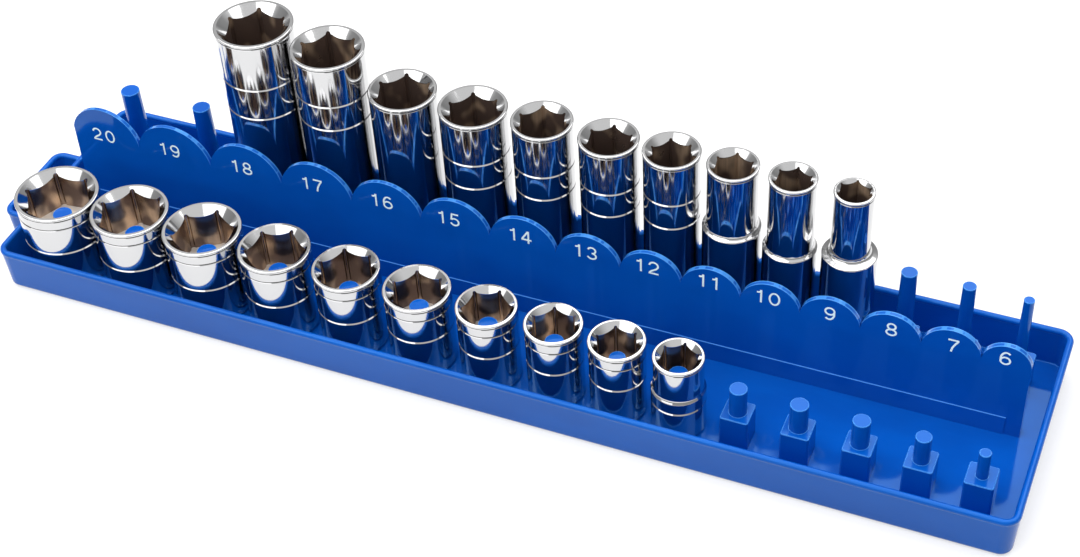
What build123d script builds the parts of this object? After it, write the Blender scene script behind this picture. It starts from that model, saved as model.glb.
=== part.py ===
import os
from math import radians, tan

from build123d import *

# Socket rail: a one-piece moulded tray with two rows of posts and a scalloped divider between them.
# Shallow hexagon sockets stand mouth up on the front posts, deep ones on the rear posts.
# Lengths are millimetres and angles are degrees. X runs along the rail, the shallow row faces -Y,
# and the tray stands on Z = 0 with the origin under the middle of the whole rail.

# Stations from left to right: one post in each row, named for the socket that belongs there
station_names = ["20", "19", "18", "17", "16", "15", "14", "13", "12", "11", "10", "9", "8", "7", "6"]
post_pitches = [28.4, 27.4, 26.5, 25.6, 24.7, 23.7, 22.3, 20.7, 19.7, 18.9, 18.9, 18.8, 18.4, 17.9]
across_flats = [20.0, 19.0, 18.0, 17.0, 16.0, 15.0, 14.0, 13.0, 12.0, 11.0, 10.0, 9.0]

# Tray
tray_height = 16.0
tray_corner_radius = 5.0
floor_thickness = 2.3
wall_thickness = 1.8
wall_draft = 2.8
bead_radius = 1.1
foot_rounding = 1.8
floor_rounding = 0.6

# Pocket moulded on the left end
pocket_reach = 9.4
pocket_rear_inset = 29.5
pocket_length = 35.0
pocket_corner_radius = 4.5

# Rows: how far the end posts and the two rows stand inside the rim
first_post_inset = 18.1
last_post_inset = 14.2
front_row_inset = 17.3
row_spacing = 49.4
rear_row_inset = 16.0

# Posts: a square block that fits the sockets' drive, with a round pin on top
block_height = 11.5
block_play = 0.4
block_draft = 0.6
block_corner_radius = 0.8
block_edge_chamfer = 0.2
front_pin_top = 23.7
rear_pin_top = 39.4
pin_draft = 0.5
pin_tip_chamfer = 0.15
core_wall = 1.8
front_pin_diameters = [6.4, 6.6, 6.6, 6.4, 6.4, 6.2, 6.2, 6.0, 5.2, 6.0, 5.5, 5.7, 5.5, 4.9, 3.6]
rear_pin_diameters = [6.5, 6.1, 5.8, 5.8, 5.7, 5.7, 5.6, 5.6, 5.5, 5.4, 5.3, 5.2, 5.05, 4.2, 3.3]

# Divider: its ends stop at a shoulder, and its scallops meet in valleys
divider_left_inset = 7.0
divider_right_inset = 8.3
divider_from_front_row = 30.45
divider_top_thickness = 1.3
divider_draft = 1.7
left_shoulder_height = 36.1
first_valley_height = 32.8
last_valley_height = 30.6
right_shoulder_height = 31.6
scallop_rise_share = 0.44
plinth_height = 9.3
plinth_end_inset = 4.9
plinth_proud = 0.3

# Sockets: what all of them share
drive_square = 9.7
drive_entry_chamfer = 0.5
drive_depth = 12.2
web_thickness = 3.3
pin_hole_play = 0.9
base_chamfer = 0.7
ring_width = 0.7
ring_depth = 0.3
lip_proud = 0.2
lip_height = 0.7
lip_rounding = 0.4
shoulder_rounding = 0.4
shoulder_rise = 0.9
neck_sweep = 1.5
mouth_land_share = 0.03
corner_relief_share = 0.048
corner_relief_place_share = 0.945

# Shallow sockets from the first station on, with 0 where one has no such ring or shoulder
shallow_mouth_diameters = [28.3, 26.1, 26.1, 23.8, 22.0, 21.9, 19.7, 18.6, 18.1, 16.0]
shallow_heights = [30.4, 31.2, 31.3, 30.9, 30.2, 29.3, 29.2, 29.1, 28.8, 28.7]
shallow_upper_ring_drops = [4.6, 4.6, 4.6, 4.6, 4.6, 4.6, 4.6, 4.6, 4.6, 0]
shallow_lower_ring_drops = [15.0, 15.8, 15.9, 15.5, 14.8, 13.9, 13.8, 13.7, 13.4, 17.0]
shallow_shoulder_drops = [0, 0, 0, 0, 0, 0, 0, 0, 0, 12.8]
shallow_drive_end_diameters = [0, 0, 0, 0, 0, 0, 0, 0, 0, 17.0]
shallow_hex_turns = [6.0, 57.0, 32.0, 23.0, 0.0, 55.0, 22.0, 49.0, 54.0, 31.0]

# Deep sockets, the same from the named station on, with a round bore below the hexagon
deep_first_station = "18"
deep_mouth_diameters = [26.4, 24.5, 22.6, 22.6, 20.1, 19.6, 18.5, 16.5, 15.1, 12.7]
deep_heights = [78.4, 75.3, 64.6, 64.1, 64.8, 63.8, 64.3, 64.2, 64.3, 64.2]
deep_upper_ring_drops = [17.7, 15.4, 0, 15.6, 15.6, 15.6, 15.1, 0, 0, 0]
deep_lower_ring_drops = [29.5, 24.8, 0, 25.2, 24.9, 24.6, 24.6, 0, 0, 0]
deep_shoulder_drops = [0, 0, 0, 0, 0, 0, 0, 24.3, 27.5, 24.7]
deep_drive_end_diameters = [0, 0, 0, 0, 0, 0, 0, 18.6, 17.1, 17.3]
deep_hex_turns = [49.0, 56.0, 47.0, 54.0, 50.0, 37.0, 52.0, 36.0, 31.0, 35.0]
deep_hex_depth = 24.0
deep_bore_share = 0.94

# Overrun for cuts that have to pass right through a surface
overrun = 2.0

# Places worked out from the sizes above
tray_length = first_post_inset + sum(post_pitches) + last_post_inset
tray_width = front_row_inset + row_spacing + rear_row_inset
overall_length = tray_length + pocket_reach
right_end = overall_length / 2
tray_left = right_end - tray_length
tray_middle_x = right_end - tray_length / 2
front_row_y = front_row_inset - tray_width / 2
rear_row_y = front_row_y + row_spacing
divider_y = front_row_y + divider_from_front_row
block_width = drive_square - 2 * block_play
rim_outset = bead_radius - wall_thickness / 2
standing = (Align.CENTER, Align.CENTER, Align.MIN)


def station_places():
    """X of every post, measured back from the right-hand rim."""
    places = [right_end - last_post_inset]
    for pitch in reversed(post_pitches):
        places.insert(0, places[0] - pitch)
    return places


def drafted(face, height, degrees):
    """Solid over a face whose walls lean outwards as they rise when degrees is positive."""
    return extrude(face, amount=height, taper=-degrees)


def tray_outline(inset):
    """Tray outline at rim level, moved inwards by inset."""
    outline = RectangleRounded(
        tray_length - 2 * inset, tray_width - 2 * inset, tray_corner_radius - inset
    )
    return Pos(tray_middle_x, 0) * outline


def pocket_corners(inset):
    """Corners of the pocket's outline at rim level, from its front root round to its rear root."""
    root_x = tray_left + wall_thickness
    outer_x = tray_left - pocket_reach + inset
    rear_y = tray_width / 2 - pocket_rear_inset
    front_y = rear_y - pocket_length + inset
    rear_y -= inset
    return [(root_x, front_y), (outer_x, front_y), (outer_x, rear_y), (root_x, rear_y)]


def pocket_outline(inset):
    """Face of the pocket's outline, closed inside the tray's own left wall."""
    corners = pocket_corners(inset)
    face = make_face(Polyline(*corners, close=True))
    outer_corners = face.vertices().sort_by(Axis.X)[:2]
    return fillet(outer_corners, pocket_corner_radius - inset)


def foot_inset(height):
    """How far the drafted outer wall has drawn in at a height, counted from the rim's outer edge."""
    fall = tray_height - bead_radius - height
    return rim_outset + fall * tan(radians(wall_draft))


def tray_block():
    """Outside of the tray without its bead, solid."""
    block = drafted(tray_outline(foot_inset(0)), tray_height - bead_radius, wall_draft)
    return fillet(block.faces().sort_by(Axis.Z)[0].edges(), foot_rounding)


def tray_hollow():
    """Space inside the tray's walls, from the floor up."""
    face = Pos(0, 0, floor_thickness) * tray_outline(foot_inset(floor_thickness) + wall_thickness)
    hollow = drafted(face, tray_height, wall_draft)
    return fillet(hollow.faces().sort_by(Axis.Z)[0].edges(), floor_rounding)


def pocket_block():
    """Outside of the pocket without its bead, solid."""
    block = drafted(pocket_outline(foot_inset(0)), tray_height - bead_radius, wall_draft)
    return fillet(block.faces().sort_by(Axis.Z)[0].edges(), foot_rounding)


def pocket_hollow():
    """Space inside the pocket, outside the tray's own wall."""
    face = Pos(0, 0, floor_thickness) * pocket_outline(foot_inset(floor_thickness) + wall_thickness)
    return drafted(face, tray_height, wall_draft)


def bead_along(path):
    """Round bead swept along a rim."""
    section = Plane(origin=path @ 0, z_dir=path % 0) * Circle(bead_radius)
    return sweep(section, path=path)


def tray_bead():
    """Bead round the tray's rim."""
    rim = tray_outline(bead_radius).wire()
    return bead_along(Pos(0, 0, tray_height - bead_radius) * rim)


def pocket_bead():
    """Bead round the pocket's rim, ending inside the tray's bead."""
    radius = pocket_corner_radius - bead_radius
    rim = FilletPolyline(*pocket_corners(bead_radius), radius=radius)
    return bead_along(Pos(0, 0, tray_height - bead_radius) * rim)


def scalloped_outline():
    """Divider seen from the front: one arched scallop over each station."""
    places = station_places()
    left = tray_left + divider_left_inset
    right = right_end - divider_right_inset
    slope = (last_valley_height - first_valley_height) / (right - left)
    joins = [(left, left_shoulder_height)]
    for before, after in zip(places, places[1:]):
        x = (before + after) / 2
        joins.append((x, first_valley_height + slope * (x - left)))
    joins.append((right, right_shoulder_height))
    outline = Curve()
    for start, end in zip(joins, joins[1:]):
        span = end[0] - start[0]
        crest = (start[0] + span / 2, (start[1] + end[1]) / 2 + scallop_rise_share * span)
        outline += ThreePointArc(start, crest, end)
    outline += Polyline(joins[-1], (right, 0), (left, 0), joins[0])
    return make_face(outline)


def wedge(length, half_top, half_foot, height):
    """Long bar of trapezium section, drawn in towards its top, standing on Z = 0 along X."""
    section = Polyline(
        (-half_foot, 0), (half_foot, 0), (half_top, height), (-half_top, height), close=True
    )
    return extrude(Plane.YZ * make_face(section), amount=length / 2, both=True)


def divider():
    """Drafted, scalloped wall between the two rows, with a low plinth along its front."""
    outline = scalloped_outline()
    height = outline.bounding_box().max.Y
    half_top = divider_top_thickness / 2
    lean = tan(radians(divider_draft))
    half_foot = half_top + height * lean
    slab = extrude(Plane.XZ * outline, amount=2 * half_foot, both=True)
    wall = slab & Pos(tray_middle_x, 0) * wedge(tray_length, half_top, half_foot, height)
    plinth_length = tray_length - divider_left_inset - divider_right_inset - 2 * plinth_end_inset
    plinth_half = half_foot - plinth_height * lean + plinth_proud
    plinth = wedge(plinth_length, plinth_half, plinth_half + plinth_height * lean, plinth_height)
    front_half = Pos(0, -half_foot) * Box(plinth_length, 2 * half_foot, 2 * plinth_height)
    plinth_x = tray_middle_x + (divider_left_inset - divider_right_inset) / 2
    wall += Pos(plinth_x, 0) * (plinth & front_half)
    return Pos(0, divider_y) * wall


def post(pin_diameter, pin_top):
    """Square drafted block with a round pin, standing on the tray's floor."""
    foot_width = block_width + 2 * block_height * tan(radians(block_draft))
    block = drafted(Rectangle(foot_width, foot_width), block_height, -block_draft)
    block = fillet(block.edges().group_by(Axis.Z)[1], block_corner_radius)
    block = chamfer(block.faces().sort_by(Axis.Z)[-1].edges(), block_edge_chamfer)
    pin_length = pin_top - floor_thickness - block_height
    tip_radius = pin_diameter / 2
    root_radius = tip_radius + pin_length * tan(radians(pin_draft))
    pin = Cone(root_radius, tip_radius, pin_length, align=standing)
    pin = chamfer(pin.edges().sort_by(Axis.Z)[-1], pin_tip_chamfer)
    return Pos(0, 0, floor_thickness) * (block + Pos(0, 0, block_height) * pin)


def post_core():
    """Square recess under a post that keeps the moulding's walls even."""
    width = block_width - 2 * core_wall
    return drafted(Rectangle(width, width), block_height, -block_draft)


def tray():
    """The whole moulding: tray, pocket, beads, divider and both rows of posts."""
    outside = tray_block()
    body = outside + pocket_block()
    body -= pocket_hollow() - outside
    body -= tray_hollow()
    body += [tray_bead(), pocket_bead(), divider()]
    places = station_places()
    posts = []
    for x, front_pin, rear_pin in zip(places, front_pin_diameters, rear_pin_diameters):
        posts.append(Pos(x, front_row_y) * post(front_pin, front_pin_top))
        posts.append(Pos(x, rear_row_y) * post(rear_pin, rear_pin_top))
    body += posts
    body -= [Pos(x, y) * post_core() for x in places for y in (front_row_y, rear_row_y)]
    return body


def turned(corners, tip=None):
    """Solid of revolution about Z through (radius, height) corners, some with a rounding."""
    start = corners[0][1] if tip is None else tip
    outline = [(0, start)] + [corner[:2] for corner in corners] + [(0, corners[-1][1])]
    section = make_face(Polyline(*outline, close=True))
    for radius, height, *rounding in corners:
        if rounding:
            vertex = section.vertices().sort_by_distance((radius, height))[0]
            section = fillet(vertex, rounding[0])
    return revolve(Plane.XZ * section, axis=Axis.Z)


def ring(body, height):
    """Corners of a vee ring turned into a body of the given radius."""
    half = ring_width / 2
    return [(body, height - half), (body - ring_depth, height), (body, height + half)]


def shoulder(drive_end, body, height):
    """Corners of the shoulder where a thick drive end sweeps in to a thinner body."""
    return [(drive_end, height, shoulder_rounding), (body, height + shoulder_rise, neck_sweep)]


def lip(mouth, body, height):
    """Corners of the lip round the mouth and of the vee ring below it."""
    foot = height - lip_height
    rounded_edge = (mouth, height, lip_rounding)
    return [*ring(body, foot - ring_width / 2)[:2], (mouth, foot), rounded_edge]


def socket_body(height, mouth_diameter, upper_drop, lower_drop, shoulder_drop, drive_end_diameter):
    """Outside of a socket standing on Z = 0, mouth up, solid; drops are counted from the mouth."""
    mouth = mouth_diameter / 2
    body = mouth - lip_proud
    drive_end = drive_end_diameter / 2 if shoulder_drop else body
    corners = [(drive_end - base_chamfer, 0), (drive_end, base_chamfer)]
    if shoulder_drop and lower_drop:
        corners += ring(drive_end, height - lower_drop)
    if shoulder_drop:
        corners += shoulder(drive_end, body, height - shoulder_drop)
    elif lower_drop:
        corners += ring(body, height - lower_drop)
    if upper_drop:
        corners += ring(body, height - upper_drop)
    return turned(corners + lip(mouth, body, height))


def hex_hole(flats, turn, bottom, mouth_diameter, height):
    """Hexagon hole with relieved corners and a 45 degree lead-in cone, open at the mouth."""
    hexagon = Rot(0, 0, turn) * RegularPolygon(flats / 2, 6, major_radius=False)
    relief = Circle(corner_relief_share * flats)
    places = [Vector(*corner) * corner_relief_place_share for corner in hexagon.vertices()]
    outline = hexagon + [Pos(place) * relief for place in places]
    prism = extrude(Pos(0, 0, bottom) * outline, amount=height - bottom + overrun)
    cone_radius = mouth_diameter / 2 - lip_rounding - mouth_land_share * mouth_diameter
    cone = turned([(cone_radius, height), (cone_radius, height + overrun)], tip=height - cone_radius)
    return prism + cone


def with_drive(body, pin_diameter):
    """Socket body with its square drive hole, and with the hole in the web that the pin passes."""
    square = extrude(Rectangle(drive_square, drive_square), amount=drive_depth)
    pin_hole = Cylinder(pin_diameter / 2 + pin_hole_play, drive_depth + web_thickness, align=standing)
    socket = body - (square + pin_hole)
    entry = socket.edges().filter_by(GeomType.LINE).group_by(Axis.Z)[0]
    return chamfer(entry, drive_entry_chamfer)


def shallow_socket(flats, turn, pin_diameter, height, mouth_diameter, *marks):
    """Shallow socket, its hexagon running down to the web."""
    body = socket_body(height, mouth_diameter, *marks)
    body -= hex_hole(flats, turn, drive_depth + web_thickness, mouth_diameter, height)
    return with_drive(body, pin_diameter)


def deep_socket(flats, turn, pin_diameter, height, mouth_diameter, *marks):
    """Deep socket, with a round bore between its hexagon and the web."""
    body = socket_body(height, mouth_diameter, *marks)
    web_top = drive_depth + web_thickness
    bottom = height - deep_hex_depth
    bore = Cylinder(deep_bore_share * flats / 2, bottom - web_top, align=standing)
    body -= hex_hole(flats, turn, bottom, mouth_diameter, height) + Pos(0, 0, web_top) * bore
    return with_drive(body, pin_diameter)


def shallow_sockets():
    """Shallow sockets by node name, each standing over its front post."""
    rows = zip(
        station_names, station_places(), across_flats, shallow_hex_turns, front_pin_diameters,
        shallow_heights, shallow_mouth_diameters, shallow_upper_ring_drops,
        shallow_lower_ring_drops, shallow_shoulder_drops, shallow_drive_end_diameters,
    )
    sockets = {}
    for name, x, *sizes in rows:
        place = Pos(x, front_row_y, floor_thickness)
        sockets[f"shallow_socket_{name}"] = place * shallow_socket(*sizes)
    return sockets


def deep_sockets():
    """Deep sockets by node name, each standing over its rear post."""
    first = station_names.index(deep_first_station)
    rows = zip(
        station_names[first:], station_places()[first:], across_flats[first:], deep_hex_turns,
        rear_pin_diameters[first:], deep_heights, deep_mouth_diameters, deep_upper_ring_drops,
        deep_lower_ring_drops, deep_shoulder_drops, deep_drive_end_diameters,
    )
    sockets = {}
    for name, x, *sizes in rows:
        place = Pos(x, rear_row_y, floor_thickness)
        sockets[f"deep_socket_{name}"] = place * deep_socket(*sizes)
    return sockets


os.makedirs("parts", exist_ok=True)
nodes = {"tray": tray()} | shallow_sockets() | deep_sockets()
for node_name, solid in nodes.items():
    export_step(solid, f"parts/{node_name}.step")
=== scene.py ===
import math

import bpy
from bpy.props import FloatProperty, FloatVectorProperty, PointerProperty
from mathutils import Matrix, Vector


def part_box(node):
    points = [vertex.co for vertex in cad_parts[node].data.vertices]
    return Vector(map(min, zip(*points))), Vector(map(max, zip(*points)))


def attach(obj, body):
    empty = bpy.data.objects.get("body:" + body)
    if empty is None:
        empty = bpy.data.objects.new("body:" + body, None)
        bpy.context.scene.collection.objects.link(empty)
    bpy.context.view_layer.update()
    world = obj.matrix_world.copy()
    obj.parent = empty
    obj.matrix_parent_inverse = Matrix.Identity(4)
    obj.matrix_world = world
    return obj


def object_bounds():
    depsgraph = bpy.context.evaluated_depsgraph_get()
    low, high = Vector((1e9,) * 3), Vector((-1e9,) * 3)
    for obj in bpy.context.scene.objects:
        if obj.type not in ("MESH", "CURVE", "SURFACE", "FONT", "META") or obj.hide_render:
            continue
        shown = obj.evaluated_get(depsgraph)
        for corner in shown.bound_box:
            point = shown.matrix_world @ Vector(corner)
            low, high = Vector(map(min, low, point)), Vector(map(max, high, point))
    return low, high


bl_info = {
    "name": "Socket Rail Finish",
    "version": (1, 0, 0),
    "blender": (4, 5, 0),
    "location": "View3D > Sidebar > Socket Rail",
    "description": "Finishes, numerals and studio stage for a socket rail",
    "category": "Object",
}

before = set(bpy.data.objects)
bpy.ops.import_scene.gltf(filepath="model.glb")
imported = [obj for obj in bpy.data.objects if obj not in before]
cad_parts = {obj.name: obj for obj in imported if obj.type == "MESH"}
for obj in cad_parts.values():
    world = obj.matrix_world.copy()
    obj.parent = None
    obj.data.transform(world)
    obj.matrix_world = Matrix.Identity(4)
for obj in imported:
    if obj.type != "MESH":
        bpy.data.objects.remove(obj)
cad_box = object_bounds()

MM = 0.001

# Heights above the base: the middle of the divider, its scallops and their foot, the top of its
# plinth, and where the painted highlight on sharp edges begins
DIVIDER_MIDDLE = 25 * MM
SCALLOP_HEIGHT = 38 * MM
SCALLOP_FOOT = 29.5 * MM
PLINTH_HEIGHT = 9.3 * MM
LIT_EDGE_FOOT = 3.0 * MM

# Thickness of the divider at its top, and how far from the rail's right end the painted highlight along
# the plinth's line stops
TOP_THICKNESS = 1.8 * MM
PLINTH_HIGHLIGHT_END = 12.9 * MM

# How strongly the painted highlights on the sharp edges and along the plinth's line, and the painted
# shade in the grooves, show
EDGE_HIGHLIGHT_SHARE = 0.85
PLINTH_HIGHLIGHT_SHARE = 0.6
GROOVE_SHADE_SHARE = 0.85

# Depth of the rim in which a socket's mouth is measured
RIM_DEPTH = 3 * MM

# Marks round a socket, from its top down, and the mouth radius from which it has a turned band
LIP_GROOVE = 1.05 * MM
BAND_FOOT = 4.6 * MM
BAND_MOUTH = 8.5 * MM

# Radius of the mouth's cone at a socket's top, as a share of the mouth's radius less an inset, and
# how far the hexagon's corners are relieved, as a share of its size
CONE_SHARE = 0.94
CONE_INSET = 0.4 * MM
CORNER_RELIEF = 0.02

# How the plate differs between the rows: how far the web's own colour shows and how dull it is, how
# metallic and how rough the hexagon's walls are, and how deep the drawing marks outside are
ROW_PLATING = {
    "shallow": {
        "web": 1.0, "web_dull": 0.45, "walls_metal": 1.0, "walls_rough": 0.10, "marks": 0.004 * MM,
    },
    "deep": {
        "web": 0.3, "web_dull": 0.0, "walls_metal": 0.78, "walls_rough": 0.20, "marks": 0.012 * MM,
    },
}

# Part of the numerals' film that lies in the divider, and the rise from one stroke to the next
# in film thicknesses, which keeps crossing strokes from sharing a face
FILM_SUNK = 0.2
STROKE_RISE = 0.04

# From the right end of the rail to the stations where no socket stands
BARE_STATIONS = {"8": 50.5 * MM, "7": 32.1 * MM, "6": 14.2 * MM}

# Place, size and power of the lamps, which face the middle of the rail
LAMPS = {
    "overhead_softbox": ((-0.1, 0.15, 1.1), (2.2, 1.55), 21.0),
    "front_softbox": ((-0.5, -0.9, 0.9), (1.3, 1.0), 6.2),
}

# Brightness of the surroundings, from straight below at 0 to straight above at 1
SKY = [(0.0, 0.90), (0.50, 0.80), (0.60, 0.30), (0.74, 0.40), (0.83, 0.90)]


def arc(across, up, wide, tall, start, end, steps=20):
    """Points of an elliptic arc, angles in degrees counted from +X."""
    turns = [math.radians(start + (end - start) * step / steps) for step in range(steps + 1)]
    return [(across + wide * math.cos(turn), up + tall * math.sin(turn)) for turn in turns]


# Centre lines of each digit's strokes, in digit heights, from the middle of the digit's foot
DIGITS = {
    "0": [arc(0.0, 0.5, 0.29, 0.43, 90, 450, 40)],
    "1": [[(0.09, 0.03), (0.09, 0.97)], [(-0.17, 0.78), (-0.04, 0.79), (0.04, 0.84), (0.08, 0.94)]],
    "2": [arc(0.0, 0.67, 0.27, 0.26, 175, -20)
          + [(0.14, 0.43), (-0.11, 0.27), (-0.24, 0.14), (-0.27, 0.04)],
          [(-0.31, 0.07), (0.31, 0.07)]],
    "3": [arc(-0.01, 0.71, 0.24, 0.22, 165, -90), arc(-0.01, 0.285, 0.27, 0.215, 90, -165)],
    "4": [[(0.10, 0.94), (-0.28, 0.33)], [(-0.33, 0.30), (0.33, 0.30)], [(0.13, 0.03), (0.13, 0.97)]],
    "5": [[(0.26, 0.93), (-0.20, 0.93)], [(-0.17, 0.96), (-0.23, 0.48)],
          arc(-0.01, 0.33, 0.27, 0.26, 140, -160)],
    "6": [arc(0.0, 0.32, 0.27, 0.25, 90, 450, 32), arc(0.03, 0.50, 0.30, 0.43, 50, 190)],
    "7": [[(-0.31, 0.92), (0.31, 0.92)], [(0.27, 0.89), (0.12, 0.66), (-0.02, 0.37), (-0.09, 0.04)]],
    "8": [arc(0.0, 0.72, 0.23, 0.21, 90, 450, 28), arc(0.0, 0.285, 0.28, 0.215, 90, 450, 32)],
    "9": [arc(0.0, 0.68, 0.27, 0.25, 90, 450, 32), arc(-0.03, 0.50, 0.30, 0.43, -130, 10)],
}

# Millimetres along the rail from each post to its numeral's middle, and that middle's height above
# the base
NUMERAL_PLACES = {
    "20": (0.6, 34.8), "19": (-1.85, 35.3), "18": (-1.45, 35.4), "17": (-1.4, 35.4),
    "16": (-1.5, 35.4), "15": (-2.35, 34.95), "14": (-1.1, 35.0), "13": (-1.1, 34.9),
    "12": (-1.25, 35.0), "11": (-0.75, 34.85), "10": (-0.85, 34.2), "9": (-0.05, 33.85),
    "8": (0.15, 33.5), "7": (0.4, 33.0), "6": (-1.95, 33.05),
}


class Value:
    """A number running through a material's nodes: arithmetic on it adds Math nodes."""

    def __init__(self, surface, socket):
        self.surface = surface
        self.socket = socket

    def __add__(self, other):
        return self.surface.maths("ADD", self, other)

    __radd__ = __add__

    def __sub__(self, other):
        return self.surface.maths("SUBTRACT", self, other)

    def __rsub__(self, other):
        return self.surface.maths("SUBTRACT", other, self)

    def __mul__(self, other):
        return self.surface.maths("MULTIPLY", self, other)

    __rmul__ = __mul__

    def __truediv__(self, other):
        return self.surface.maths("DIVIDE", self, other)

    def __pow__(self, other):
        return self.surface.maths("POWER", self, other)


class Surface:
    """The nodes of a material or world, built from expressions and single nodes."""

    def __init__(self, owner):
        self.owner = owner
        owner.use_nodes = True
        self.tree = owner.node_tree
        self.tree.nodes.clear()

    def node(self, kind, settings=None, inputs=None):
        """Adds one node, with its settings first and then its socket values or links."""
        node = self.tree.nodes.new(kind)
        for key, setting in (settings or {}).items():
            if key == "stops":
                fill_ramp(node.color_ramp, setting)
            else:
                setattr(node, key, setting)
        for key, given in (inputs or {}).items():
            if isinstance(given, Value):
                self.tree.links.new(given.socket, node.inputs[key])
            else:
                node.inputs[key].default_value = given
        return node

    def value(self, kind, settings=None, inputs=None, output=0):
        """Adds one node and returns one of its outputs."""
        return Value(self, self.node(kind, settings, inputs).outputs[output])

    def maths(self, operation, *terms):
        """A Math node's result."""
        return self.value("ShaderNodeMath", {"operation": operation}, dict(enumerate(terms)))

    def apart(self, number, middle):
        """How far number is from middle, either way."""
        return self.maths("ABSOLUTE", number - middle)

    def mix(self, share, first, second):
        """Colour that goes from first to second as share goes from 0 to 1."""
        settings = {"data_type": "RGBA", "clamp_factor": True}
        return self.value("ShaderNodeMix", settings, {0: share, 6: first, 7: second}, output=2)

    def ease(self, number, start, end):
        """0 at start, 1 at end, smooth between them and level beyond, for start above or below end."""
        settings = {"interpolation_type": "SMOOTHSTEP"}
        return self.value("ShaderNodeMapRange", settings, {0: number, 1: start, 2: end})

    def place(self):
        """Position on the object in metres, in the rail's own frame."""
        return self.value("ShaderNodeTexCoord", output="Object")

    def facing(self):
        """X, Y and Z of the direction that the surface faces, in the rail's own frame."""
        return self.axes(self.value("ShaderNodeTexCoord", output="Normal"))

    def axes(self, vector):
        """X, Y and Z of a vector."""
        node = self.node("ShaderNodeSeparateXYZ", inputs={0: vector})
        return [Value(self, output) for output in node.outputs]

    def stretch(self, vector, scales):
        """The vector with each axis multiplied by its own scale."""
        return self.value("ShaderNodeVectorMath", {"operation": "MULTIPLY"}, {0: vector, 1: scales})

    def noise(self, vector, scale, detail, roughness=0.5):
        """Noise from 0 to 1 along a vector, with about scale patches in one unit of it."""
        inputs = {"Vector": vector, "Scale": scale, "Detail": detail, "Roughness": roughness}
        return self.value("ShaderNodeTexNoise", inputs=inputs)

    def bump(self, height, distance, under=None):
        """Normal for a height from 0 to 1 that stands distance metres tall, on top of one under it."""
        inputs = {"Height": height, "Distance": distance, "Strength": 1.0}
        if under is not None:
            inputs["Normal"] = under
        return self.value("ShaderNodeBump", inputs=inputs)

    def principled(self, **inputs):
        """Ends the material in one Principled surface and returns the material."""
        named = {key.replace("_", " "): given for key, given in inputs.items()}
        shader = self.value("ShaderNodeBsdfPrincipled", inputs=named)
        return self.finish(shader)

    def finish(self, shader):
        """Ends the material in a shader and returns the material."""
        self.node("ShaderNodeOutputMaterial", inputs={"Surface": shader})
        return self.owner


def fill_ramp(ramp, stops):
    """Sets a colour ramp's stops from (place, colour) pairs."""
    while len(ramp.elements) < len(stops):
        ramp.elements.new(1.0)
    for element, (place, colour) in zip(ramp.elements, stops):
        element.position = place
        element.color = colour


def solid(colour):
    """Four-part colour from a three-part property."""
    return (*colour[:3], 1.0)


def grey(level):
    """Four-part grey of one level."""
    return (level, level, level, 1.0)


def dress(node_name, material):
    """Puts one material in every slot of a carried-over node."""
    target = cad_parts[node_name]
    if not target.data.materials:
        target.data.materials.append(material)
    for slot in target.material_slots:
        slot.material = material


class TrayLook(bpy.types.PropertyGroup):
    """Finish of the blue moulding."""

    blue: FloatVectorProperty(
        name="Blue", description="Colour of the moulded plastic", subtype="COLOR",
        default=(0.001, 0.086, 0.45), min=0.0, max=1.0,
    )
    deep_blue: FloatVectorProperty(
        name="Deep blue", description="Colour where the melt flowed darker", subtype="COLOR",
        default=(0.001, 0.074, 0.405), min=0.0, max=1.0,
    )
    # Painted highlight: this colour lightens the divider's thin top and the sharp edges, where light
    # catches them.
    edge: FloatVectorProperty(
        name="Edge", description="Colour along the thin moulded edges, which let light through",
        subtype="COLOR", default=(0.10, 0.40, 0.90), min=0.0, max=1.0,
    )
    shine: FloatVectorProperty(
        name="Shine", description="Tint of what the plastic mirrors", subtype="COLOR",
        default=(0.25, 0.62, 1.0), min=0.0, max=1.0,
    )
    # Painted highlight: a lighter line where the plinth's thin ledge catches light.
    plinth_highlight: FloatVectorProperty(
        name="Plinth line", description="Colour of the fine line along the plinth's top",
        subtype="COLOR", default=(0.12, 0.42, 0.95), min=0.0, max=1.0,
    )
    gloss_roughness: FloatProperty(
        name="Gloss roughness", description="Roughness of the polished mould's faces",
        default=0.06, min=0.0, max=1.0,
    )
    edge_radius: FloatProperty(
        name="Edge radius", description="How far from a sharp edge the lighter edge colour reaches",
        default=0.3 * MM, min=0.0, unit="LENGTH", precision=6,
    )
    wave_height: FloatProperty(
        name="Wave height", description="Height of the slow waves in the moulded faces",
        default=0.02 * MM, min=0.0, unit="LENGTH", precision=6,
    )


class ChromeLook(bpy.types.PropertyGroup):
    """Finish of the plated sockets."""

    plate: FloatVectorProperty(
        name="Plate", description="Colour of the chrome plate", subtype="COLOR",
        default=(0.60, 0.60, 0.605), min=0.0, max=1.0,
    )
    bore: FloatVectorProperty(
        name="Bore", description="Colour of the thinly plated hexagon walls", subtype="COLOR",
        default=(0.17, 0.12, 0.10), min=0.0, max=1.0,
    )
    # Painted reflection: golden glints laid as colour in patches on the hexagon's walls.
    painted_bore_glint: FloatVectorProperty(
        name="Bore glint", description="Colour of the better plated patches on those walls",
        subtype="COLOR", default=(0.80, 0.60, 0.42), min=0.0, max=1.0,
    )
    web: FloatVectorProperty(
        name="Web", description="Colour of the web at the hexagon's foot", subtype="COLOR",
        default=(0.85, 0.81, 0.76), min=0.0, max=1.0,
    )
    # Painted shade: a dark colour laid in the turned grooves, where shade falls.
    groove_shade: FloatVectorProperty(
        name="Grime", description="Colour of what darkens the turned grooves", subtype="COLOR",
        default=(0.03, 0.03, 0.03), min=0.0, max=1.0,
    )
    bore_metal: FloatProperty(
        name="Bore metal", description="How metallic the thinly plated walls are",
        default=0.9, min=0.0, max=1.0,
    )
    plate_roughness: FloatProperty(
        name="Plate roughness", description="Roughness of the polished plate",
        default=0.06, min=0.0, max=1.0,
    )


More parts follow.
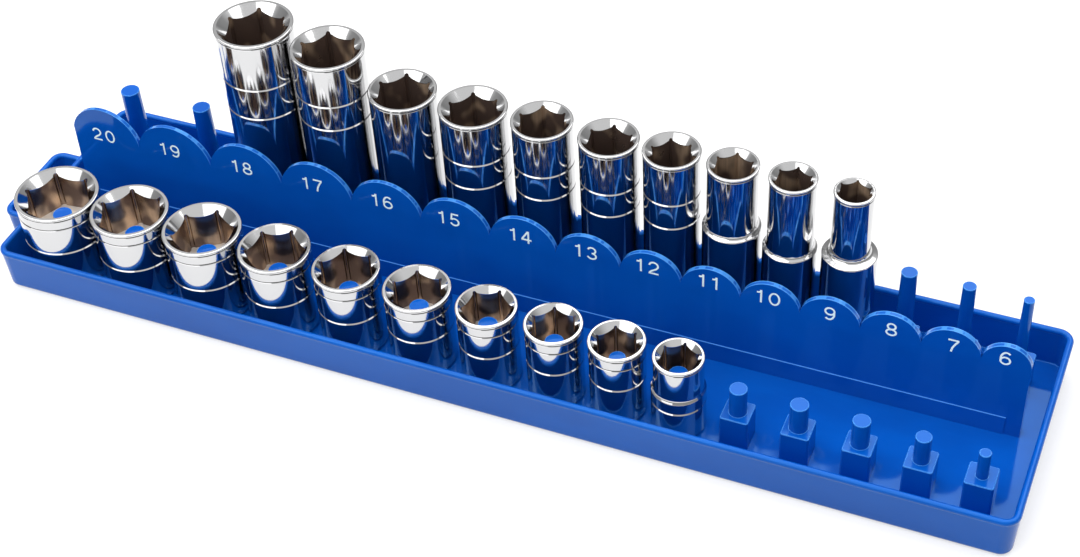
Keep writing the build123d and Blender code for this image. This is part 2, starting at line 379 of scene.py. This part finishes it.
class NumeralLook(bpy.types.PropertyGroup):
    """Printed size numerals on the divider."""

    height: FloatProperty(
        name="Height", description="Height of a numeral",
        default=5.25 * MM, unit="LENGTH", precision=5,
    )
    stroke: FloatProperty(
        name="Stroke", description="Width of a numeral's stroke",
        default=0.61 * MM, unit="LENGTH", precision=6,
    )
    pitch: FloatProperty(
        name="Pitch", description="Room that a digit takes along the line",
        default=5.1 * MM, unit="LENGTH", precision=5,
    )
    narrow_pitch: FloatProperty(
        name="Narrow pitch", description="Room that the digit 1 takes along the line",
        default=4.3 * MM, unit="LENGTH", precision=5,
    )
    thickness: FloatProperty(
        name="Thickness", description="Thickness of the printed film",
        default=0.05 * MM, unit="LENGTH", precision=6,
    )
    ink: FloatVectorProperty(
        name="Ink", description="Colour of the printing", subtype="COLOR",
        default=(0.84, 1.0, 1.0), min=0.0, max=1.0,
    )
    thin_ink: FloatVectorProperty(
        name="Thin ink", description="Colour where the printing covers less", subtype="COLOR",
        default=(0.60, 0.68, 0.85), min=0.0, max=1.0,
    )


class StageLook(bpy.types.PropertyGroup):
    """Floor, light and camera."""

    floor_size: FloatProperty(
        name="Floor size", description="Side of the floor", default=6.0, unit="LENGTH",
    )
    floor_colour: FloatVectorProperty(
        name="Floor colour", description="Colour of the paper under the rail", subtype="COLOR",
        default=(0.50, 0.50, 0.50), min=0.0, max=1.0,
    )
    camera_place: FloatVectorProperty(
        name="Camera place", description="Camera position", subtype="TRANSLATION",
        default=(0.20375, -0.40303, 0.44358), unit="LENGTH", precision=5,
    )
    camera_turn: FloatVectorProperty(
        name="Camera turn", description="Tilt below the horizon, turn about the vertical, and roll",
        subtype="EULER", unit="ROTATION",
        default=(math.radians(43.31), math.radians(25.14), math.radians(-3.86)),
    )
    camera_lens: FloatProperty(
        name="Camera lens", description="Focal length in millimetres for the sensor below",
        default=64.19, unit="CAMERA",
    )
    camera_sensor: FloatProperty(
        name="Camera sensor", description="Width of the sensor in millimetres",
        default=36.0, unit="CAMERA",
    )


class SocketRail(bpy.types.PropertyGroup):
    """Everything that can be set on the rail's finish."""

    tray: PointerProperty(type=TrayLook)
    chrome: PointerProperty(type=ChromeLook)
    numerals: PointerProperty(type=NumeralLook)
    stage: PointerProperty(type=StageLook)


def divider_face():
    """A point on the divider's front face and the face's outward normal."""
    start = Vector((0.0, 0.0, DIVIDER_MIDDLE))
    hit, place, normal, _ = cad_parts["tray"].ray_cast(start, Vector((0.0, 1.0, 0.0)))
    if not hit:
        raise RuntimeError("no divider face behind the numerals")
    return place, normal


def divider_front(z):
    """Y of the divider's front face at height z."""
    face, normal = divider_face()
    return face.y - (z - face.z) * normal.z / normal.y


def painted_scallop_highlight(surface, front):
    """Painted highlight on the divider's thin top: a trace all over, more at its rims and in patches
    along it.
    """
    place = surface.place()
    y, z = surface.axes(place)[1:]
    above = surface.ease(z, SCALLOP_FOOT, SCALLOP_FOOT + 0.5 * MM)
    within = surface.ease(y, front + TOP_THICKNESS + 0.1 * MM, front + TOP_THICKNESS - 0.1 * MM)
    lean = surface.maths("ABSOLUTE", surface.facing()[1])
    band = above * within * surface.ease(y, front - 0.1 * MM, front) * surface.ease(lean, 0.8, 0.6)
    rims = surface.ease(surface.apart(y, front + TOP_THICKNESS / 2), 0.42 * MM, 0.6 * MM)
    # Noise patches that break up the painted highlight along the top.
    patches = surface.noise(surface.stretch(place, (1.0, 0.0, 1.0)), 420.0, detail=1.0)
    marks = surface.ease(patches, 0.50, 0.56)
    return band * (0.05 + 0.48 * rims + 0.38 * marks * (1 - rims))


def divider_nearby(surface, front):
    """1 near the divider and 0 elsewhere."""
    y = surface.axes(surface.place())[1]
    before = surface.ease(y, front - 3.5 * MM, front - 3.0 * MM)
    return before * surface.ease(y, front + 4.0 * MM, front + 3.5 * MM)


def painted_edge_highlight(surface, look, nearby):
    """Painted highlight along the posts' and the rim's sharp edges, where a rounded normal leaves the
    face's.
    """
    z = surface.axes(surface.place())[2]
    flat = surface.value("ShaderNodeNewGeometry", output="Normal")
    rounded = surface.value("ShaderNodeBevel", {"samples": 6}, {"Radius": look.edge_radius})
    settings = {"operation": "DOT_PRODUCT"}
    agree = surface.value("ShaderNodeVectorMath", settings, {0: flat, 1: rounded}, output="Value")
    above_floor = surface.ease(z, LIT_EDGE_FOOT, LIT_EDGE_FOOT + 0.4 * MM)
    return surface.ease(agree, 0.998, 0.94) * above_floor * (1 - nearby) * EDGE_HIGHLIGHT_SHARE


def painted_plinth_highlight(surface, front, nearby):
    """Painted highlight in the fine line along the plinth's top, where its ledge catches light, up to
    its right end.
    """
    x, y, z = surface.axes(surface.place())
    line_end = cad_box[1][0] - PLINTH_HIGHLIGHT_END
    line = surface.ease(surface.apart(z, PLINTH_HEIGHT), 0.13 * MM, 0.07 * MM)
    line = line * nearby * surface.ease(y, front + 0.2 * MM, front)
    return line * surface.ease(x, line_end, line_end - 0.4 * MM) * PLINTH_HIGHLIGHT_SHARE


def blue_moulding(look):
    """Glossy dyed plastic with faint flow marks, slow waves and fine handling scuffs, with painted
    highlights on the divider's top, the sharp edges and the plinth's line.
    """
    surface = Surface(bpy.data.materials.new("blue_moulding"))
    place = surface.place()
    flow = surface.noise(surface.stretch(place, (1.0, 3.0, 2.0)), 28.0, detail=3.0)
    scuffs = surface.noise(surface.stretch(place, (40.0, 400.0, 160.0)), 3.0, detail=4.0, roughness=0.7)
    haze = surface.noise(place, 90.0, detail=5.0, roughness=0.6)
    waves = surface.noise(place, 60.0, detail=1.0)
    front = divider_front(SCALLOP_HEIGHT)
    nearby = divider_nearby(surface, front)
    colour = surface.mix(surface.ease(flow, 0.35, 0.65), solid(look.blue), solid(look.deep_blue))
    # Painted highlight on the divider's thin top, where light from above falls.
    colour = surface.mix(painted_scallop_highlight(surface, front), colour, solid(look.edge))
    # Painted highlight along the sharp edges of the posts and the rim.
    colour = surface.mix(painted_edge_highlight(surface, look, nearby), colour, solid(look.edge))
    # Painted highlight along the plinth's top.
    colour = surface.mix(painted_plinth_highlight(surface, front, nearby), colour, solid(look.plinth_highlight))
    worn = surface.ease(scuffs, 0.60, 0.80)
    roughness = look.gloss_roughness + 0.03 * haze + 0.10 * worn
    normal = surface.bump(waves, look.wave_height)
    normal = surface.bump(worn, 0.002 * MM, under=normal)
    return surface.principled(
        Base_Color=colour, Roughness=roughness, Normal=normal, IOR=1.53, Specular_Tint=solid(look.shine)
    )


def socket_facts(node_name):
    """Axis, radii and heights of a socket in metres, read from its node."""
    low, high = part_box(node_name)
    axis = Vector(((low[0] + high[0]) / 2, (low[1] + high[1]) / 2, 0.0))
    flats = float(node_name.rsplit("_", 1)[1]) * MM
    mouth = 0.0
    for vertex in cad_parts[node_name].data.vertices:
        if vertex.co.z > high[2] - RIM_DEPTH:
            mouth = max(mouth, Vector((vertex.co.x - axis.x, vertex.co.y - axis.y)).length)
    return {
        "axis": axis, "base": low[2], "top": high[2], "mouth": mouth,
        "relief": flats / math.sqrt(3) + CORNER_RELIEF * flats,
        "cone_foot": high[2] - (mouth * CONE_SHARE - CONE_INSET),
        "banded": node_name.startswith("shallow") and mouth > BAND_MOUTH,
    }


def painted_groove_shade(surface, facts, radius, z):
    """Painted shade in the groove under the lip and, on large sockets of the front row, at the band's
    foot.
    """
    outside = surface.ease(radius, facts["mouth"] - 0.75 * MM, facts["mouth"] - 0.65 * MM)
    groove_shade = surface.ease(surface.apart(z, facts["top"] - LIP_GROOVE), 0.36 * MM, 0.20 * MM)
    if facts["banded"]:
        from_band = surface.apart(z, facts["top"] - BAND_FOOT)
        groove_shade = groove_shade + surface.ease(from_band, 0.28 * MM, 0.12 * MM)
    return groove_shade * outside * GROOVE_SHADE_SHARE


def chrome_plate(look, node_name):
    """Mirror chrome outside with painted shade in its grooves, and thin brownish plate with drawing
    streaks and painted golden glints on the hexagon's walls.
    """
    facts = socket_facts(node_name)
    plating = ROW_PLATING[node_name.split("_")[0]]
    surface = Surface(bpy.data.materials.new(node_name + "_chrome"))
    place = surface.place()
    x, y, z = surface.axes(place)
    x = x - facts["axis"].x
    y = y - facts["axis"].y
    radius = (x * x + y * y) ** 0.5
    cone_foot = facts["cone_foot"]
    inside = surface.ease(radius, facts["relief"] + 0.25 * MM, facts["relief"] + 0.1 * MM)
    below_cone = surface.ease(z - radius, cone_foot - 0.08 * MM, cone_foot - 0.25 * MM)
    above_foot = surface.ease(z, facts["base"] + 0.8 * MM, facts["base"] + 1.2 * MM)
    bore = inside * below_cone * above_foot
    web = bore * surface.ease(surface.facing()[2], 0.6, 0.8)
    about = surface.value("ShaderNodeCombineXYZ", inputs={0: x / radius, 1: y / radius, 2: z * 6.0})
    streaks = surface.noise(about, 7.0, detail=4.0, roughness=0.6)
    # Noise patches where the painted golden glints lie on the hexagon's walls.
    glint_patches = surface.noise(surface.stretch(place, (1.0, 1.0, 0.7)), 150.0, detail=1.0)
    polish = surface.noise(surface.stretch(place, (60.0, 60.0, 2600.0)), 1.0, detail=2.0)
    smears = surface.noise(place, 120.0, detail=4.0, roughness=0.6)
    # The painted glints, broken by the drawing streaks, lighten the dark walls.
    plated = surface.ease(glint_patches, 0.49, 0.69) * (0.40 + 0.8 * streaks)
    walls = surface.mix(plated, solid(look.bore), solid(look.painted_bore_glint))
    colour = surface.mix(bore, solid(look.plate), walls)
    colour = surface.mix(web * plating["web"], colour, solid(look.web))
    # Painted shade in the grooves under the lip and at the band's foot.
    colour = surface.mix(painted_groove_shade(surface, facts, radius, z), colour, solid(look.groove_shade))
    dull_walls = 1 - look.bore_metal * plating["walls_metal"]
    metallic = 1 - bore * dull_walls - web * plating["web_dull"]
    roughness = look.plate_roughness + 0.04 * smears + plating["walls_rough"] * bore
    normal = surface.bump(polish, 0.0006 * MM)
    normal = surface.bump(streaks * bore, 0.008 * MM, under=normal)
    normal = surface.bump(streaks * (1 - bore), plating["marks"], under=normal)
    return surface.principled(Base_Color=colour, Roughness=roughness, Metallic=metallic, Normal=normal)


def printed_ink(look):
    """White pad-printed film, a little uneven in coverage."""
    surface = Surface(bpy.data.materials.new("numeral_ink"))
    cover = surface.noise(surface.place(), 900.0, detail=3.0, roughness=0.7)
    colour = surface.mix(surface.ease(cover, 0.66, 0.90), solid(look.ink), solid(look.thin_ink))
    normal = surface.bump(cover, 0.01 * MM)
    return surface.principled(Base_Color=colour, Roughness=0.32 + 0.15 * cover, Normal=normal)


def studio_paper(look):
    """Pale paper that shows white to the camera and in gloss, and keeps the rail's shadow."""
    surface = Surface(bpy.data.materials.new("studio_paper"))
    path = surface.node("ShaderNodeLightPath")
    seen = Value(surface, path.outputs["Is Camera Ray"]) + Value(surface, path.outputs["Is Glossy Ray"])
    seen = surface.maths("MINIMUM", seen + Value(surface, path.outputs["Is Transmission Ray"]), 1.0)
    grain = surface.noise(surface.place(), 400.0, detail=2.0)
    darker = solid([part * 0.97 for part in look.floor_colour])
    colour = surface.mix(grain, solid(look.floor_colour), darker)
    paper = surface.value("ShaderNodeBsdfDiffuse", inputs={"Color": colour})
    glow = surface.mix(seen, grey(0.0), grey(0.5))
    light = surface.value("ShaderNodeEmission", inputs={"Color": glow, "Strength": 1.0})
    return surface.finish(surface.value("ShaderNodeAddShader", inputs={0: paper, 1: light}))


def stroke_ribbon(points, half_width, low, high):
    """Corners and faces of one printed stroke along a centre line, standing from low to high."""
    line = [Vector(point) for point in points]
    count = len(line)
    corners = []
    for index, point in enumerate(line):
        before = (point - line[max(index - 1, 0)]).normalized()
        after = (line[min(index + 1, count - 1)] - point).normalized()
        ahead = (before + after).normalized()
        side = Vector((-ahead.y, ahead.x)) * half_width
        for edge in (point + side, point - side):
            corners += [(edge.x, edge.y, low), (edge.x, edge.y, high)]
    faces = [(0, 1, 3, 2)]
    for index in range(0, 4 * (count - 1), 4):
        left, left_top, right, right_top = range(index, index + 4)
        faces += [
            (left_top, left_top + 4, right_top + 4, right_top),
            (left, right, right + 4, left + 4),
            (left, left + 4, left_top + 4, left_top),
            (right, right_top, right_top + 4, right + 4),
        ]
    last = 4 * (count - 1)
    faces.append((last, last + 2, last + 3, last + 1))
    return corners, faces


def numeral_mesh(text, look, material):
    """Mesh of one size's digits, centred on its own origin and facing +Z."""
    corners = []
    faces = []
    layer = 0
    spacing = sum(look.narrow_pitch if digit == "1" else look.pitch for digit in text) / len(text)
    for index, digit in enumerate(text):
        middle = (index - (len(text) - 1) / 2) * spacing
        for line in DIGITS[digit]:
            points = [
                (middle + across * look.height, (up - 0.5) * look.height) for across, up in line
            ]
            high = look.thickness * (1 + STROKE_RISE * layer)
            ribbon, ribbon_faces = stroke_ribbon(points, look.stroke / 2, 0.0, high)
            faces += [tuple(corner + len(corners) for corner in face) for face in ribbon_faces]
            corners += ribbon
            layer += 1
    mesh = bpy.data.meshes.new("numeral_" + text)
    mesh.from_pydata(corners, [], faces)
    mesh.materials.append(material)
    mesh.validate()
    return mesh


class SOCKETRAIL_OT_tray(bpy.types.Operator):
    """Gives the moulding its glossy blue plastic"""

    bl_idname = "socketrail.tray"
    bl_label = "Finish tray"

    def execute(self, context):
        dress("tray", blue_moulding(context.scene.socket_rail.tray))
        return {"FINISHED"}


def plate_row(prefix, context):
    """Plates every socket of one row."""
    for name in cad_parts:
        if name.startswith(prefix):
            dress(name, chrome_plate(context.scene.socket_rail.chrome, name))


class SOCKETRAIL_OT_shallow_sockets(bpy.types.Operator):
    """Plates the shallow sockets"""

    bl_idname = "socketrail.shallow_sockets"
    bl_label = "Plate shallow sockets"

    def execute(self, context):
        plate_row("shallow_socket_", context)
        return {"FINISHED"}


class SOCKETRAIL_OT_deep_sockets(bpy.types.Operator):
    """Plates the deep sockets"""

    bl_idname = "socketrail.deep_sockets"
    bl_label = "Plate deep sockets"

    def execute(self, context):
        plate_row("deep_socket_", context)
        return {"FINISHED"}


def station_x(name):
    """X of a station, from the socket that stands there or from the rail's right end."""
    for prefix in ("shallow_socket_", "deep_socket_"):
        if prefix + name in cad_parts:
            low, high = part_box(prefix + name)
            return (low[0] + high[0]) / 2
    return cad_box[1][0] - BARE_STATIONS[name]


class SOCKETRAIL_OT_numerals(bpy.types.Operator):
    """Prints the size numerals on the divider"""

    bl_idname = "socketrail.numerals"
    bl_label = "Print numerals"

    def execute(self, context):
        look = context.scene.socket_rail.numerals
        ink = printed_ink(look)
        normal = divider_face()[1]
        upright = Vector((0.0, 0.0, 1.0))
        up = (upright - normal * normal.dot(upright)).normalized()
        right = up.cross(normal)
        turn = Matrix((right, up, normal)).transposed().to_4x4()
        for name, (shift, height) in NUMERAL_PLACES.items():
            z = height * MM
            place = Vector((station_x(name) + shift * MM, divider_front(z), z))
            place -= normal * look.thickness * FILM_SUNK
            mesh = numeral_mesh(name, look, ink)
            mesh.transform(Matrix.Translation(place) @ turn)
            piece = bpy.data.objects.new("numeral_" + name, mesh)
            context.scene.collection.objects.link(piece)
            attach(piece, "tray")
        return {"FINISHED"}


def softbox(name, place, size, power):
    """Rectangular lamp that faces the middle of the rail."""
    lamp = bpy.data.lights.new(name, "AREA")
    lamp.shape = "RECTANGLE"
    lamp.size, lamp.size_y = size
    lamp.energy = power
    holder = bpy.data.objects.new(name, lamp)
    holder.location = place
    holder.rotation_euler = (-Vector(place)).to_track_quat("-Z", "Y").to_euler()
    bpy.context.scene.collection.objects.link(holder)


def studio_world():
    """Soft even surroundings, white to the camera."""
    world = bpy.data.worlds.new("studio_world")
    bpy.context.scene.world = world
    surface = Surface(world)
    path = surface.node("ShaderNodeLightPath")
    seen = Value(surface, path.outputs["Is Camera Ray"])
    direction = surface.value("ShaderNodeTexCoord", output="Generated")
    height = surface.axes(direction)[2]
    stops = [(place, grey(level)) for place, level in SKY]
    sky = surface.value("ShaderNodeValToRGB", {"stops": stops}, {0: height * 0.5 + 0.5})
    colour = surface.mix(seen, sky, grey(1.0))
    light = surface.value("ShaderNodeBackground", inputs={"Color": colour, "Strength": 1.0})
    surface.node("ShaderNodeOutputWorld", inputs={"Surface": light})


class SOCKETRAIL_OT_stage(bpy.types.Operator):
    """Sets the pale floor, the soft lamps and the camera"""

    bl_idname = "socketrail.stage"
    bl_label = "Set stage"

    def execute(self, context):
        look = context.scene.socket_rail.stage
        half = look.floor_size / 2
        mesh = bpy.data.meshes.new("studio_floor")
        corners = [(-half, -half, 0), (half, -half, 0), (half, half, 0), (-half, half, 0)]
        mesh.from_pydata(corners, [], [(0, 1, 2, 3)])
        mesh.materials.append(studio_paper(look))
        floor = bpy.data.objects.new("studio_floor", mesh)
        context.scene.collection.objects.link(floor)
        studio_world()
        for name, (place, size, power) in LAMPS.items():
            softbox(name, place, size, power)
        camera = bpy.data.cameras.new("camera")
        camera.lens = look.camera_lens
        camera.sensor_width = look.camera_sensor
        camera.clip_start = 0.01
        holder = bpy.data.objects.new("camera", camera)
        tilt, around, roll = look.camera_turn
        turn = (
            Matrix.Rotation(around, 4, "Z")
            @ Matrix.Rotation(math.pi / 2 - tilt, 4, "X")
            @ Matrix.Rotation(roll, 4, "Z")
        )
        holder.matrix_world = Matrix.Translation(look.camera_place) @ turn
        context.scene.collection.objects.link(holder)
        context.scene.camera = holder
        context.scene.view_settings.view_transform = "Standard"
        return {"FINISHED"}


class SOCKETRAIL_PT_panel(bpy.types.Panel):
    """Lists the rail's steps in the sidebar"""

    bl_idname = "SOCKETRAIL_PT_panel"
    bl_label = "Socket Rail"
    bl_space_type = "VIEW_3D"
    bl_region_type = "UI"
    bl_category = "Socket Rail"

    def draw(self, context):
        for step in STEPS:
            self.layout.operator(step.bl_idname)


STEPS = [
    SOCKETRAIL_OT_tray,
    SOCKETRAIL_OT_shallow_sockets,
    SOCKETRAIL_OT_deep_sockets,
    SOCKETRAIL_OT_numerals,
    SOCKETRAIL_OT_stage,
]
CLASSES = [TrayLook, ChromeLook, NumeralLook, StageLook, SocketRail, *STEPS, SOCKETRAIL_PT_panel]


def register():
    for item in CLASSES:
        bpy.utils.register_class(item)
    bpy.types.Scene.socket_rail = PointerProperty(type=SocketRail)


def unregister():
    del bpy.types.Scene.socket_rail
    for item in reversed(CLASSES):
        bpy.utils.unregister_class(item)


def main():
    register()
    for step in STEPS:
        group, name = step.bl_idname.split(".")
        getattr(getattr(bpy.ops, group), name)()


if __name__ == "__main__":
    main()
